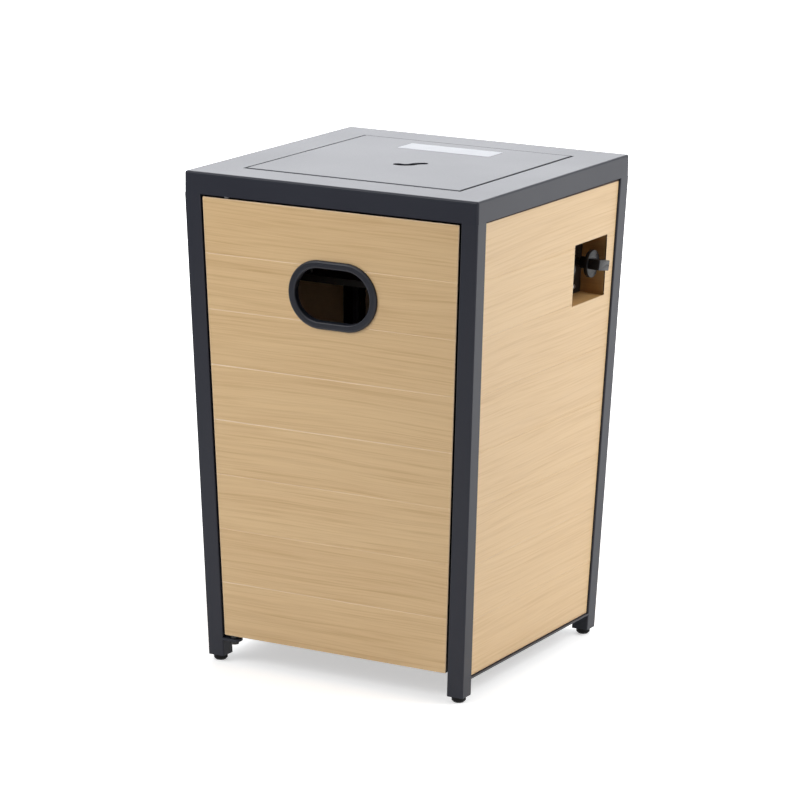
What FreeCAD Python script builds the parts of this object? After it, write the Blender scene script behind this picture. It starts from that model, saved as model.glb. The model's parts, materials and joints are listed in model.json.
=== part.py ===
import FreeCAD, Part
import math
import os
import random

Vec = FreeCAD.Vector

# Column: square top, upright apron, sides that lean in towards the floor
top_width = 400.0
base_width = 357.3
table_height = 616.0
apron_height = 27.0
foot_stand = 7.5

# Corner posts of square tube, and flat bottom rails between them
post_size = 22.0
post_wall = 1.5
post_radius = 1.5
post_inside_radius = 0.4
rail_rise = 20.0
rail_height = 2.2
rail_depth = 18.0

# Table top folded from sheet, with a sunk seat round the opening for the lid
top_sheet = 1.5
border_width = 51.0
seat_drop = 12.0
seat_width = 14.0
top_edge_radius = 2.6

# Lid: shallow pan, a little above the border, with a wavy finger slot of two bends
lid_gap = 3.0
lid_proud = 0.5
lid_sheet = 1.5
lid_edge_radius = 1.2
slot_width = 11.6
slot_first_bend = 12.1
slot_last_bend = 14.2
slot_first_x = 0.0
slot_first_y = -13.0
slot_start_angle = 247.0
slot_turn_angle = 352.5
slot_last_sweep = 58.0

# Wall panels and door: folded trays with plank grooves across them
panel_sheet = 1.2
panel_depth = 14.0
wall_set = 2.4
door_set = 0.6
panel_side_gap = 0.3
panel_top_gap = 1.2
panel_seat_gap = 0.3
panel_edge_radius = 1.1
panel_corner_radius = 1.5
plank_count = 8
groove_width = 1.4
groove_depth = 0.5

# Door and its pivots, which stand in the plane of the door near its left edge
door_rise = 28.0
door_side_gap = 2.6
door_top_gap = 2.6
pivot_from_post = 12.7
pivot_set = 7.6
pin_radius = 3.0
pin_head_radius = 5.5
pin_head_height = 3.5
lower_head_height = 4.5
pin_reach = 12.0
pin_hole_clearance = 0.3
running_clearance = 0.05
bush_radius = 4.2
bush_collar_radius = 5.4
bush_collar_height = 1.5
bush_length = 9.0
lug_thickness = 3.0
lug_end_radius = 10.0
lug_drop = 4.0
seat_clearance = 0.2

# Oval grip ring round the hole in the door
grip_x = 5.0
grip_drop = 105.9
grip_length = 102.0
grip_height = 65.0
grip_rim = 9.5
grip_proud = 4.0
grip_collar = 2.8
grip_collar_depth = 5.0
grip_fit = 0.2
grip_outer_round = 3.2
grip_inner_round = 2.4

# Magnetic catch under the apron and its strike on the door
catch_from_post = 47.9
magnet_length = 32.0
magnet_height = 17.0
magnet_depth = 11.0
strike_length = 36.0
strike_height = 17.0
strike_leg = 9.0
strike_sheet = 1.2
catch_gap = 0.3

# Levelling feet screwed into plugs in the posts
foot_radius = 8.7
foot_chamfer = 2.5
foot_gap = 0.3
stud_radius = 4.0
stud_length = 22.0
stud_chamfer = 1.0
plug_height = 20.0
plug_clearance = 0.1

# Control recess in the right-hand panel
recess_from_post = 65.4
recess_drop = 105.7
recess_width = 88.5
recess_height = 76.7
recess_depth = 35.6
surround_sheet = 1.0
surround_step = 0.5
surround_flange = 10.0
plate_sheet = 1.5
plate_clearance = 0.3
plate_ledge = 8.0
plate_screw_span = 48.8
plate_screw_rise = 59.0
screw_radius = 1.5
screw_head_radius = 3.2
screw_head_height = 1.8
screw_head_round = 0.9
screw_length = 7.0

# Gas valve with a push-and-turn knob
knob_offset = 22.0
knob_lift = 3.9
skirt_radius = 17.4
skirt_height = 4.8
skirt_face = -8.7
bar_length = 29.0
bar_thickness = 13.0
bar_proud = 15.3
bar_round = 1.2
bar_turn = -10.0
knob_edge = 0.8
hub_radius = 7.5
hub_length = 11.5
stem_cover = 13.5
stem_radius = 4.0
stem_length = 50.6
stem_flat = 2.8
valve_neck_radius = 5.5
valve_neck_length = 5.0
valve_nut_flats = 17.0
valve_nut_height = 5.0
valve_shoulder_radius = 9.0
valve_shoulder_height = 4.0
valve_radius = 16.0
valve_length = 34.0
plug_radius = 9.0
valve_plug_length = 20.0
valve_plug_set = 8.0
plug_bore_depth = 17.0
outlet_radius = 7.0
outlet_length = 9.0
lead_port_radius = 3.6
lead_port_root = 2.0
inlet_boss_radius = 8.0
inlet_boss_reach = 24.0
inlet_radius = 6.5
inlet_length = 16.0
inlet_bore = 2.5
inlet_hex_flats = 17.0
inlet_hex_height = 6.0

# Spark igniter beside the knob
igniter_offset = -21.75
igniter_lift = 2.0
igniter_radius = 8.0
igniter_body_radius = 10.0
igniter_sleeve = 13.0
igniter_body_length = 28.0
igniter_shoulder = 1.5
igniter_nut_flats = 22.0
igniter_nut_height = 5.0
button_radius = 6.2
button_proud = 9.0
button_length = 16.0
button_room = 6.0
button_round = 1.0
terminal_radius = 2.2
terminal_length = 6.0

# Fire bowl hung in the lid seat
bowl_sheet = 1.2
bowl_clearance = 1.8
bowl_rim_gap = 1.0
bowl_depth = 64.0
bowl_floor_width = 224.0
drain_radius = 4.0
drain_circle = 40.0
drain_count = 6
rim_screw_inset = 8.0

# Burner on a bent venturi tube
burner_radius = 70.0
burner_tube = 8.0
burner_lift = 12.0
spoke_radius = 6.0
burner_hub_radius = 15.0
burner_hub_height = 21.0
port_radius = 1.4
port_depth = 6.0
port_count = 16
venturi_radius = 10.0
venturi_wall = 1.4
venturi_drop = 22.0
venturi_reach = 70.0
venturi_bend = 20.0
venturi_socket = 8.0
air_slot_length = 14.0
air_slot_width = 7.0
jet_radius = 7.0
jet_length = 25.0
jet_collar_height = 4.0
jet_nose_radius = 3.0
jet_nose_length = 10.0
gas_tube_radius = 4.0
gas_tube_run = 56.0
gas_tube_corner = 20.0
gas_tube_ease = 40.0

# Spark electrode and thermocouple stand in the bowl's floor
electrode_x = 78.0
electrode_y = 38.0
thermocouple_x = 52.0
thermocouple_y = 68.0
ceramic_radius = 3.5
ceramic_length = 34.0
ceramic_below = 12.0
collar_radius = 7.0
collar_height = 3.0
electrode_wire = 1.0
electrode_tip = 8.0
probe_radius = 3.0
probe_length = 30.0
probe_below = 12.0
probe_round = 1.8
lead_radius = 1.6
lead_corner = 10.0
lead_run = 20.0
lead_drop = 15.0
lead_port_rise = 11.5

# Heat shield above the gas bottle
shield_width = 206.0
shield_sheet = 1.0
shield_lip = 8.0
shield_drop = 56.0
spacer_radius = 4.0
spacer_span = 176.0

# Lava rocks on the bowl's floor
rock_radius = 12.5
rock_smallest = 0.78
rock_pitch = 27.0
rock_row = 26.0
rock_spread = 1.2
rock_gap = 1.0
rock_seed = 11

# How far a cutting tool runs past a face, and when two places count as the same
cut_over = 1.0
same_place = 0.01

# Levels and the lean of the sides
top_half = top_width / 2
base_half = base_width / 2
apron_low = table_height - apron_height
post_rise = apron_low - foot_stand
lean = math.atan2(top_half - base_half, post_rise)
lean_degrees = math.degrees(lean)
seat_level = table_height - seat_drop
rim_level = seat_level + bowl_sheet
lid_level = table_height + lid_proud
opening_half = top_half - border_width
floor_level = rim_level - bowl_depth
front, right, back, left = 0, 90, 180, 270


def box(x0, x1, y0, y1, z0, z1):
    return Part.makeBox(x1 - x0, y1 - y0, z1 - z0, Vec(x0, y0, z0))


def rod(radius, start, end):
    axis = end - start
    return Part.makeCylinder(radius, axis.Length, start, axis)


def polygon(points):
    return Part.Face(Part.makePolygon(points + points[:1]))


def fused(shapes):
    return shapes[0].multiFuse(shapes[1:]).removeSplitter()


def turned(shape, degrees):
    copy = shape.copy()
    copy.rotate(Vec(), Vec(0, 0, 1), degrees)
    return copy


def hexagon(flats, start, height, along):
    corner = flats / 2 / math.cos(math.pi / 6)
    points = []
    for k in range(6):
        angle = math.pi / 3 * k
        points.append(Vec(corner * math.cos(angle), corner * math.sin(angle), 0))
    prism = polygon(points).extrude(Vec(0, 0, height))
    prism.Placement = FreeCAD.Placement(start, FreeCAD.Rotation(Vec(0, 0, 1), along))
    return prism


def rounded_square(size, radius, centre):
    half = size / 2
    flat = half - radius
    bulge = flat + radius * math.sqrt(0.5)
    edges = []
    for k in range(4):
        turn = FreeCAD.Rotation(Vec(0, 0, 1), 90 * k)
        ends = [Vec(half, -flat, 0), Vec(half, flat, 0), Vec(bulge, bulge, 0), Vec(flat, half, 0)]
        low, high, middle, last = [turn.multVec(p) + centre for p in ends]
        edges.append(Part.LineSegment(low, high).toShape())
        edges.append(Part.Arc(high, middle, last).toShape())
    return Part.Face(Part.Wire(edges))


def obround(length, height, centre):
    r = height / 2
    straight = length / 2 - r
    tip = length / 2
    points = [(-straight, -r), (straight, -r), (tip, 0), (straight, r), (-straight, r), (-tip, 0)]
    a, b, c, d, e, f = [Vec(x, y, 0) + centre for x, y in points]
    edges = [Part.LineSegment(a, b), Part.Arc(b, c, d), Part.LineSegment(d, e), Part.Arc(e, f, a)]
    return Part.Face(Part.Wire([edge.toShape() for edge in edges]))


def bent_tube(points, bends, radius):
    edges = []
    start = points[0]
    for before, corner, after, bend in zip(points, points[1:], points[2:], bends):
        come = (corner - before).normalize()
        leave = (after - corner).normalize()
        half_turn = come.getAngle(leave) / 2
        reach = bend * math.tan(half_turn)
        enter = corner - come * reach
        depart = corner + leave * reach
        inward = (leave - come).normalize()
        middle = corner + inward * (bend / math.cos(half_turn) - bend)
        edges.append(Part.LineSegment(start, enter).toShape())
        edges.append(Part.Arc(enter, middle, depart).toShape())
        start = depart
    edges.append(Part.LineSegment(start, points[-1]).toShape())
    path = Part.Wire(edges)
    section = Part.Wire(Part.Circle(points[0], points[1] - points[0], radius).toShape())
    return path.makePipeShell([section], True, False)


def rounded(shape, radius, wanted):
    edges = [edge for edge in shape.Edges if wanted(edge)]
    return shape.makeFillet(radius, edges)


def lies_at(edge, axis, value):
    low = getattr(edge.BoundBox, axis + "Min")
    high = getattr(edge.BoundBox, axis + "Max")
    return abs(low - value) < same_place and abs(high - value) < same_place


# A side's own frame: X to the right as seen from outside, Y up the leaning face, Z outwards
def side_frame(side):
    swing = FreeCAD.Placement(Vec(), FreeCAD.Rotation(Vec(0, 0, 1), side))
    lean_out = FreeCAD.Rotation(Vec(1, 0, 0), 90 + lean_degrees)
    return swing.multiply(FreeCAD.Placement(Vec(0, -base_half, foot_stand), lean_out))


def on_side(shape, side):
    placed = shape.copy()
    placed.Placement = side_frame(side).multiply(shape.Placement)
    return placed


def side_point(side, x, y, z):
    return side_frame(side).multVec(Vec(x, y, z))


# Height up a face, at a depth behind it, of a level above the floor
def up_face(level, depth):
    return (level - foot_stand + depth * math.sin(lean)) / math.cos(lean)


def half_between_posts(y):
    return base_half - post_size + y * math.sin(lean)


def square_ring(profile):
    reach = max(r for r, z in profile)
    low = min(z for r, z in profile)
    high = max(z for r, z in profile)
    side = polygon([Vec(-reach, -r, z) for r, z in profile]).extrude(Vec(2 * reach, 0, 0))
    quarter = [Vec(0, 0, low), Vec(-reach, -reach, low), Vec(reach, -reach, low)]
    wedge = polygon(quarter).extrude(Vec(0, 0, high - low))
    piece = side.common(wedge)
    return fused([turned(piece, 90 * k) for k in range(4)])


def square_frustum(low_half, low, high_half, high):
    squares = []
    for half, z in ((low_half, low), (high_half, high)):
        corners = [Vec(-half, -half, z), Vec(half, -half, z), Vec(half, half, z), Vec(-half, half, z)]
        squares.append(Part.makePolygon(corners + corners[:1]))
    return Part.makeLoft(squares, True, True)


pivot_top = up_face(apron_low, -pivot_set)
door_low = door_rise / math.cos(lean)
pivot_inset = half_between_posts(door_low) - pivot_from_post
door_high = up_face(apron_low - door_top_gap, 0)
catch_x = half_between_posts(door_high) - catch_from_post
panel_low = rail_rise + rail_height + panel_seat_gap
panel_high = up_face(apron_low - panel_top_gap, 0)
grip_rise = up_face(apron_low, 0) - grip_drop
recess_rise = up_face(apron_low, 0) - recess_drop
recess_centre = half_between_posts(recess_rise) - recess_from_post
wall_back = -wall_set - panel_sheet
wall_rear = -wall_set - panel_depth
door_rear = -door_set - panel_depth


def upper_pin_hole():
    reach = pin_head_height
    start = Vec(-pivot_inset, pivot_top - reach, -pivot_set)
    end = Vec(-pivot_inset, pivot_top + top_sheet + reach, -pivot_set)
    return on_side(rod(pin_radius + pin_hole_clearance, start, end), front)


def table_top():
    lip_half = opening_half + top_sheet
    skirt_half = top_half - top_sheet
    return_half = top_half - post_size
    under = table_height - top_sheet
    seat_half = opening_half - seat_width
    profile = [
        (seat_half, seat_level - top_sheet), (lip_half, seat_level - top_sheet), (lip_half, under),
        (skirt_half, under), (skirt_half, apron_low + top_sheet), (return_half, apron_low + top_sheet),
        (return_half, apron_low), (top_half, apron_low), (top_half, table_height),
        (opening_half, table_height), (opening_half, seat_level), (seat_half, seat_level),
    ]
    ring = square_ring(profile)

    def outer_edge(edge):
        box_of = edge.BoundBox
        reach = max(abs(box_of.XMax), abs(box_of.XMin), abs(box_of.YMax), abs(box_of.YMin))
        at_top = lies_at(edge, "Z", table_height)
        upright = box_of.ZLength > apron_height / 2
        return abs(reach - top_half) < same_place and (at_top or upright)

    ring = rounded(ring, top_edge_radius, outer_edge)
    return ring.cut(upper_pin_hole())


def slot_bend_piece(centre, bend, first_angle, sweep):
    tall = seat_drop * 2
    outer = Part.makeCylinder(bend + slot_width / 2, tall, Vec(), Vec(0, 0, 1), sweep)
    inner = Part.makeCylinder(bend - slot_width / 2, tall)
    sector = outer.cut(inner)
    swing = FreeCAD.Rotation(Vec(0, 0, 1), first_angle)
    sector.Placement = FreeCAD.Placement(centre + Vec(0, 0, seat_level), swing)
    return sector


def finger_slot():
    first = Vec(slot_first_x, slot_first_y, 0)

    def along(centre, bend, angle):
        turn = math.radians(angle)
        return centre + Vec(math.cos(turn), math.sin(turn), 0) * bend

    second = along(first, slot_first_bend + slot_last_bend, slot_turn_angle)
    end_angle = slot_turn_angle - 180 - slot_last_sweep
    ends = [along(first, slot_first_bend, slot_start_angle), along(second, slot_last_bend, end_angle)]
    first_sweep = slot_turn_angle - slot_start_angle
    pieces = [slot_bend_piece(first, slot_first_bend, slot_start_angle, first_sweep)]
    pieces.append(slot_bend_piece(second, slot_last_bend, end_angle, slot_last_sweep))
    for end in ends:
        low = end + Vec(0, 0, seat_level)
        pieces.append(Part.makeCylinder(slot_width / 2, seat_drop * 2, low))
    return fused(pieces)


def lid():
    half = opening_half - lid_gap
    inner = half - lid_sheet
    pan = box(-half, half, -half, half, rim_level, lid_level)

    def outside(edge):
        return lies_at(edge, "Z", lid_level) or edge.BoundBox.ZLength > lid_sheet

    pan = rounded(pan, lid_edge_radius, outside)
    hollow = box(-inner, inner, -inner, inner, rim_level - lid_sheet, lid_level - lid_sheet)
    return pan.cut(hollow).cut(finger_slot())


def post_prism(sx, sy, size, radius):
    set_in = base_half - post_size / 2
    foot = Vec(sx * set_in, sy * set_in, foot_stand)
    spread = top_half - base_half
    return rounded_square(size, radius, foot).extrude(Vec(sx * spread, sy * spread, post_rise))


def post(sx, sy):
    outside = post_prism(sx, sy, post_size, post_radius)
    return outside.cut(post_prism(sx, sy, post_size - 2 * post_wall, post_inside_radius))


def post_plugs():
    plugs = []
    for sx, sy in corners:
        core = post_prism(sx, sy, post_size - 2 * (post_wall + plug_clearance), post_inside_radius)
        reach = top_half
        slab = box(-reach, reach, -reach, reach, foot_stand, foot_stand + plug_height)
        set_in = base_half - post_size / 2
        low = Vec(sx * set_in, sy * set_in, foot_stand)
        thread = rod(stud_radius + running_clearance, low, low + Vec(0, 0, 2 * plug_height))
        plugs.append(core.common(slab).cut(thread))
    return Part.makeCompound(plugs)


def foot(sx, sy):
    top = foot_stand - foot_gap
    stud_top = top + stud_length
    outline = [
        Vec(0, 0, 0), Vec(foot_radius - foot_chamfer, 0, 0), Vec(foot_radius, 0, foot_chamfer),
        Vec(foot_radius, 0, top), Vec(stud_radius, 0, top), Vec(stud_radius, 0, stud_top - stud_chamfer),
        Vec(stud_radius - stud_chamfer, 0, stud_top), Vec(0, 0, stud_top),
    ]
    pad = polygon(outline).revolve(Vec(), Vec(0, 0, 1), 360)
    set_in = base_half - post_size / 2
    pad.translate(Vec(sx * set_in, sy * set_in, 0))
    return pad


def bottom_rail(side):
    reach = half_between_posts(rail_rise + rail_height) + post_wall
    bar = box(-reach, reach, rail_rise, rail_rise + rail_height, -rail_depth, 0)
    bar = on_side(bar, side)
    for sx, sy in corners:
        bar = bar.cut(post_prism(sx, sy, post_size, post_radius))
    return max(bar.Solids, key=lambda solid: solid.Volume)


def tray(low, high, side_gap, set_in):
    face = -set_in
    rear = face - panel_depth

    def blank(inset, front_face, back_face):
        points = []
        for sign, y in ((-1, low + inset), (1, low + inset), (1, high - inset), (-1, high - inset)):
            points.append(Vec(sign * (half_between_posts(y) - side_gap - inset), y, front_face))
        return polygon(points).extrude(Vec(0, 0, back_face - front_face))

    shell = blank(0, face, rear)
    shell = rounded(shell, panel_corner_radius, lambda edge: edge.BoundBox.ZLength > panel_depth / 2)
    shell = rounded(shell, panel_edge_radius, lambda edge: lies_at(edge, "Z", face))
    shell = shell.cut(blank(panel_sheet, face - panel_sheet, rear - panel_sheet))
    pitch = (high - low) / plank_count
    reach = half_between_posts(high)
    grooves = []
    for k in range(1, plank_count):
        y = low + pitch * k
        half = groove_width / 2
        section = [Vec(-reach, y - half, face), Vec(-reach, y + half, face)]
        section.append(Vec(-reach, y, face - groove_depth))
        grooves.append(polygon(section).extrude(Vec(2 * reach, 0, 0)))
    return shell.cut(grooves)


def recess_block(grow, front_face, back_face):
    half_w = recess_width / 2 + grow
    half_h = recess_height / 2 + grow
    return box(recess_centre - half_w, recess_centre + half_w, recess_rise - half_h, recess_rise + half_h,
               back_face, front_face)


def wall_panel(side):
    return on_side(tray(panel_low, panel_high, panel_side_gap, wall_set), side)


def right_panel():
    wall = tray(panel_low, panel_high, panel_side_gap, wall_set)
    return on_side(wall.cut(recess_block(0, panel_depth, wall_rear)), right)


def grip_solid(grow, front_face, back_face):
    centre = Vec(grip_x, grip_rise, back_face)
    face = obround(grip_length + 2 * grow, grip_height + 2 * grow, centre)
    return face.extrude(Vec(0, 0, front_face - back_face))


def pivot_rod(radius, low, high):
    return rod(radius, Vec(-pivot_inset, low, -pivot_set), Vec(-pivot_inset, high, -pivot_set))


def door_panel():
    leaf = tray(door_low, door_high, door_side_gap, door_set)
    leaf = leaf.cut(grip_solid(grip_collar + grip_fit, panel_depth, door_rear))
    for y in (door_low, door_high - panel_sheet):
        leaf = leaf.cut(pivot_rod(bush_radius, y - panel_sheet, y + 2 * panel_sheet))
    return on_side(leaf, front)


def grip_ring():
    rim = grip_solid(grip_rim, grip_proud - door_set, -door_set)
    rim = rim.cut(grip_solid(0, grip_proud + panel_depth, -panel_depth))
    face = grip_proud - door_set

    def front_edge(edge, outer):
        size = max(abs(edge.BoundBox.YMax - grip_rise), abs(edge.BoundBox.YMin - grip_rise))
        return lies_at(edge, "Z", face) and (size > grip_height / 2 + grip_rim / 2) == outer

    rim = rounded(rim, grip_outer_round, lambda edge: front_edge(edge, True))
    rim = rounded(rim, grip_inner_round, lambda edge: front_edge(edge, False))
    collar = grip_solid(grip_collar, -door_set, -door_set - grip_collar_depth)
    collar = collar.cut(grip_solid(0, panel_depth, -2 * panel_depth))
    return on_side(fused([rim, collar]), front)


def upper_bush():
    under = door_high - panel_sheet
    sleeve = pivot_rod(bush_radius, door_high - bush_length, door_high)
    collar = pivot_rod(bush_collar_radius, under - bush_collar_height, under)
    bore = pivot_rod(pin_radius + running_clearance, door_low, pivot_top)
    return on_side(fused([sleeve, collar]).cut(bore), front)


def lug_top():
    return door_low - lug_drop


def lower_bush():
    seat = lug_top() + seat_clearance
    sleeve = pivot_rod(bush_radius, seat, door_low + bush_length)
    collar = pivot_rod(bush_collar_radius, seat, door_low)
    bore = pivot_rod(pin_radius + running_clearance, 0, door_high)
    return on_side(fused([sleeve, collar]).cut(bore), front)


def upper_pivot_pin():
    head_seat = pivot_top + top_sheet + pin_head_radius * math.tan(lean)
    shank = pivot_rod(pin_radius, door_high - pin_reach, head_seat)
    head = pivot_rod(pin_head_radius, head_seat, head_seat + pin_head_height)
    return on_side(fused([shank, head]), front)


def lower_pivot_pin():
    under = lug_top() - lug_thickness
    shank = pivot_rod(pin_radius, under, door_low + pin_reach)
    head = pivot_rod(pin_head_radius, under - lower_head_height, under)
    return on_side(fused([shank, head]), front)


def hinge_lug():
    low = lug_top() - lug_thickness
    end = pivot_rod(lug_end_radius, low, lug_top())
    reach = half_between_posts(low) + post_wall
    rear, fore = -pivot_set - lug_end_radius, -pivot_set + lug_end_radius
    arm = box(-reach, -pivot_inset, low, lug_top(), rear, fore)
    front_trim = box(-reach, 0, 0, door_low, 0, lug_end_radius)
    plate = fused([end, arm]).cut(front_trim)
    plate = plate.cut(pivot_rod(pin_radius + running_clearance, 0, door_low))
    plate = on_side(plate, front).cut(post_prism(-1, -1, post_size, post_radius))
    return max(plate.Solids, key=lambda solid: solid.Volume)


def catch_strike():
    high = door_high - panel_sheet
    rear = door_rear - strike_sheet
    outline = [
        (rear, high), (rear, high - strike_height), (door_rear, high - strike_height),
        (door_rear, high - strike_sheet), (door_rear + strike_leg, high - strike_sheet),
        (door_rear + strike_leg, high),
    ]
    section = polygon([Vec(catch_x - strike_length / 2, y, z) for z, y in outline])
    return on_side(section.extrude(Vec(strike_length, 0, 0)), front)


def catch_magnet():
    face = door_rear - strike_sheet - catch_gap
    low = door_high - panel_sheet - magnet_height
    block = box(catch_x - magnet_length / 2, catch_x + magnet_length / 2, low, low + 2 * magnet_height,
                face - magnet_depth, face)
    above = box(-top_half, top_half, -top_half, top_half, apron_low, table_height)
    return on_side(block, front).cut(above)


plate_front = -recess_depth
plate_back = plate_front - plate_sheet


def screw_places():
    for sx in (-1, 1):
        for sy in (-1, 1):
            yield recess_centre + sx * plate_screw_span / 2, recess_rise + sy * plate_screw_rise / 2


def recess_rod(radius, x, y, start, end):
    return rod(radius, Vec(x, y, start), Vec(x, y, end))


def knob_rod(radius, start, end):
    return recess_rod(radius, recess_centre + knob_offset, recess_rise + knob_lift, start, end)


def igniter_rod(radius, start, end):
    return recess_rod(radius, recess_centre + igniter_offset, recess_rise + igniter_lift, start, end)


def control_surround():
    rear = plate_back - surround_sheet
    shell = recess_block(surround_step + surround_sheet, wall_back, rear)
    shell = shell.cut(recess_block(surround_step, panel_depth, plate_back))
    shell = shell.cut(recess_block(-plate_ledge, 0, rear - cut_over))
    flange = recess_block(surround_step + surround_flange, wall_back, wall_back - surround_sheet)
    flange = flange.cut(recess_block(surround_step, panel_depth, -recess_depth))
    shell = fused([shell, flange])
    for x, y in screw_places():
        shell = shell.cut(recess_rod(screw_radius, x, y, plate_front, rear - cut_over))
    return on_side(shell, right)


def control_plate():
    plate = recess_block(surround_step - plate_clearance, plate_front, plate_back)
    plate = plate.cut(knob_rod(valve_neck_radius + plate_clearance, 0, plate_back - cut_over))
    plate = plate.cut(igniter_rod(igniter_radius + plate_clearance, 0, plate_back - cut_over))
    for x, y in screw_places():
        plate = plate.cut(recess_rod(screw_radius, x, y, 0, plate_back - cut_over))
    return on_side(plate, right)


def plate_screws():
    crown = plate_front + screw_head_height
    screws = []
    for x, y in screw_places():
        head = recess_rod(screw_head_radius, x, y, plate_front, crown)
        head = rounded(head, screw_head_round, lambda edge: lies_at(edge, "Z", crown))
        shank = recess_rod(screw_radius, x, y, plate_front - screw_length, plate_front)
        screws.append(on_side(fused([head, shank]), right))
    return Part.makeCompound(screws)


valve_front = plate_back - valve_shoulder_height
valve_back = valve_front - valve_length
plug_front = valve_front - valve_plug_set
plug_back = plug_front - valve_plug_length
skirt_back = skirt_face - skirt_height
bar_tip = skirt_face + bar_proud
stem_front = bar_tip - stem_cover
stem_back = stem_front - stem_length


def valve_body():
    neck_end = plate_front + valve_neck_length
    body = [knob_rod(valve_radius, valve_back, valve_front)]
    body.append(knob_rod(valve_shoulder_radius, valve_front, plate_back))
    body.append(knob_rod(valve_neck_radius, plate_back, neck_end))
    body.append(knob_rod(outlet_radius, valve_back - outlet_length, valve_back))
    x, y = recess_centre + knob_offset, recess_rise + knob_lift
    middle = (valve_front + valve_back) / 2
    body.append(rod(inlet_boss_radius, Vec(x, y - inlet_boss_reach, middle), Vec(x, y, middle)))
    port_y = y + lead_port_rise
    port_end = valve_back - outlet_length
    body.append(recess_rod(lead_port_radius, x, port_y, port_end, valve_back + lead_port_root))
    casting = fused(body)
    casting = casting.cut(knob_rod(plug_radius + running_clearance, plug_back - plate_clearance,
                                   plug_front + plate_clearance))
    casting = casting.cut(knob_rod(stem_radius + running_clearance, plug_front, neck_end + cut_over))
    return on_side(casting, right)


# Round bar with a flat along one side, which keys the knob and the plug to the stem
def keyed_rod(clearance, start, end):
    radius = stem_radius + clearance
    x, y = recess_centre + knob_offset, recess_rise + knob_lift
    above_flat = box(x - radius, x + radius, y + stem_flat + clearance, y + 2 * radius, start, end)
    return knob_rod(radius, start, end).cut(above_flat)


def valve_plug():
    core = knob_rod(plug_radius, plug_back, plug_front)
    bore = keyed_rod(running_clearance, plug_front - plug_bore_depth, plug_front + cut_over)
    return on_side(core.cut(bore), right)


def valve_stem():
    return on_side(keyed_rod(0, stem_back, stem_front), right)


def valve_nut():
    x, y = recess_centre + knob_offset, recess_rise + knob_lift
    nut = hexagon(valve_nut_flats, Vec(x, y, plate_front), valve_nut_height, Vec(0, 0, 1))
    nut = nut.cut(knob_rod(valve_neck_radius + running_clearance, plate_back, 0))
    return on_side(nut, right)


def control_knob():
    x, y = recess_centre + knob_offset, recess_rise + knob_lift
    skirt = knob_rod(skirt_radius, skirt_back, skirt_face)
    skirt = rounded(skirt, knob_edge, lambda edge: lies_at(edge, "Z", skirt_face))
    bar = box(x - bar_length / 2, x + bar_length / 2, y - bar_thickness / 2, y + bar_thickness / 2,
              skirt_back, bar_tip)
    bar = rounded(bar, bar_round, lambda edge: edge.BoundBox.ZLength > bar_proud / 2)
    bar = rounded(bar, knob_edge, lambda edge: lies_at(edge, "Z", bar_tip))
    bar.rotate(Vec(x, y, 0), Vec(0, 0, 1), bar_turn)
    hub = knob_rod(hub_radius, skirt_back - hub_length, skirt_back)
    knob = fused([skirt, bar, hub])
    bore = keyed_rod(running_clearance, stem_back, stem_front + seat_clearance)
    return on_side(knob.cut(bore), right)


def inlet_fitting():
    x, y = recess_centre + knob_offset, recess_rise + knob_lift
    middle = (valve_front + valve_back) / 2
    high = y - inlet_boss_reach
    hex_low = high - inlet_hex_height
    nut = hexagon(inlet_hex_flats, Vec(x, high, middle), inlet_hex_height, Vec(0, -1, 0))
    spigot = rod(inlet_radius, Vec(x, hex_low - inlet_length, middle), Vec(x, hex_low, middle))
    passage = rod(inlet_bore, Vec(x, hex_low - 2 * inlet_length, middle), Vec(x, high - cut_over, middle))
    return on_side(fused([nut, spigot]).cut(passage), right)


sleeve_end = plate_front + igniter_sleeve
button_back = sleeve_end + button_proud - button_length


def igniter_housing():
    shoulder = plate_back - igniter_shoulder
    rear = shoulder - igniter_body_length
    barrel = [igniter_rod(igniter_radius, shoulder, sleeve_end)]
    barrel.append(igniter_rod(igniter_body_radius, rear, plate_back))
    barrel.append(igniter_rod(terminal_radius, rear - terminal_length, rear))
    housing = fused(barrel)
    housing = housing.cut(igniter_rod(button_radius + running_clearance, button_back - button_room, 0))
    return on_side(housing, right)


def igniter_nut():
    x, y = recess_centre + igniter_offset, recess_rise + igniter_lift
    nut = hexagon(igniter_nut_flats, Vec(x, y, plate_front), igniter_nut_height, Vec(0, 0, 1))
    return on_side(nut.cut(igniter_rod(igniter_radius + running_clearance, plate_back, 0)), right)


def igniter_button():
    face = sleeve_end + button_proud
    button = igniter_rod(button_radius, button_back, face)
    return on_side(rounded(button, button_round, lambda edge: lies_at(edge, "Z", face)), right)


floor_half = bowl_floor_width / 2
floor_under = floor_level - bowl_sheet
hub_top = floor_level + burner_hub_height
venturi_level = floor_level - venturi_drop


def upright(radius, x, y, low, high):
    return rod(radius, Vec(x, y, low), Vec(x, y, high))


def rim_screw_places():
    reach = opening_half - bowl_rim_gap - rim_screw_inset
    return [(reach, 0), (0, reach), (-reach, 0), (0, -reach)]


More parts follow.
